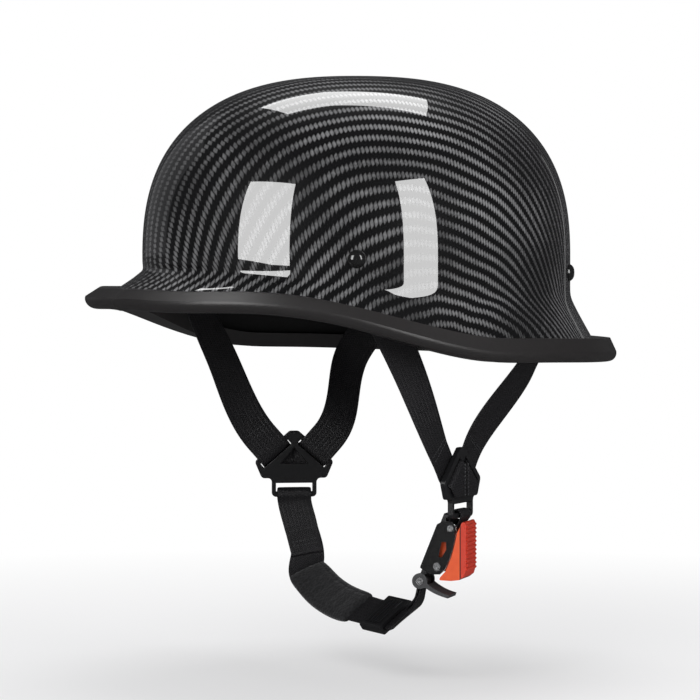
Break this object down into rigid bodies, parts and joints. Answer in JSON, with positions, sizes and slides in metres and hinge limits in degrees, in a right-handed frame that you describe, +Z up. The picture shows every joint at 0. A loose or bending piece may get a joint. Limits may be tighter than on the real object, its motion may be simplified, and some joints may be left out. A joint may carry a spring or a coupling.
{
  "type": "half shell motorcycle helmet",
  "caption": "Domed half shell helmet with a flared brim, rubber edge trim, padded liner, riveted V-straps, side dividers and a chin strap with a ratchet lever buckle.",
  "frame": {"origin": "the crown seat: the point where the top of the wearer's head meets the underside of the crown pad", "axes": "+Z up, -Y towards the front of the helmet, +X towards the wearer's left, where the buckle is"},
  "size_m": [0.2524, 0.3084, 0.3037],
  "materials": {
    "shell": "glossy clear coat over twill weave",
    "trim": "satin",
    "liner": "matte foam",
    "pad_cloth": "matte",
    "hook_tape": "matte",
    "black_metal": "gloss black",
    "plated_steel": "bright plated",
    "webbing": "woven",
    "black_nylon": "satin",
    "orange_nylon": "satin"
  },
  "bodies": {
    "helmet": {"outer_shell": "shell", "edge_trim": "trim", "impact_liner": "liner", "crown_pad": "pad_cloth", "brow_pad": "pad_cloth", "nape_pad": "pad_cloth", "side_pad_left": "pad_cloth", "side_pad_right": "pad_cloth", "hook_patches": "hook_tape", "strap_rivets": "black_metal", "strap_washers": "plated_steel", "strap_front_left": "webbing", "strap_front_right": "webbing", "strap_rear_left": "webbing", "strap_rear_right": "webbing", "divider_left": "black_nylon", "divider_right": "black_nylon"},
    "chin_loop": {"web_tab": "webbing", "tab_pin": "plated_steel", "buckle_housing": "black_metal", "lever_pin": "plated_steel", "lever_spring": "plated_steel", "chin_web": "webbing", "chin_pad": "pad_cloth"},
    "lever": {"release_lever": "orange_nylon"},
    "tongue": {"ratchet_tongue": "black_nylon", "tongue_pin": "plated_steel", "guard_flap": "black_nylon", "web_end": "webbing"},
    "adjuster": {"strap_adjuster": "black_nylon"}
  },
  "joints": [
    {"name": "chin_loop_swing", "type": "hinge", "parent": "helmet", "child": "chin_loop", "pos_m": [0, 0.0112, -0.2101], "axis": [1, 0, 0], "range_deg": [-9, 12], "deforming": ["web_tab", "chin_web"]},
    {"name": "lever_release", "type": "hinge", "parent": "chin_loop", "child": "lever", "pos_m": [0.071, 0.005, -0.2374], "axis": [-0.6157, 0.788, 0], "range_deg": [0, 28], "stiffness_Nm_per_rad": 0.12, "springref_deg": -22.92},
    {"name": "tongue_slide", "type": "slide", "parent": "chin_loop", "child": "tongue", "axis": [-0.2952, -0.2306, -0.9272], "range_m": [-0.0022, 0.038], "deforming": ["web_end"]},
    {"name": "adjuster_slide", "type": "slide", "parent": "chin_loop", "child": "adjuster", "axis": [0.9992, -0.0235, -0.0323], "range_m": [-0.007, 0.003]}
  ]
}
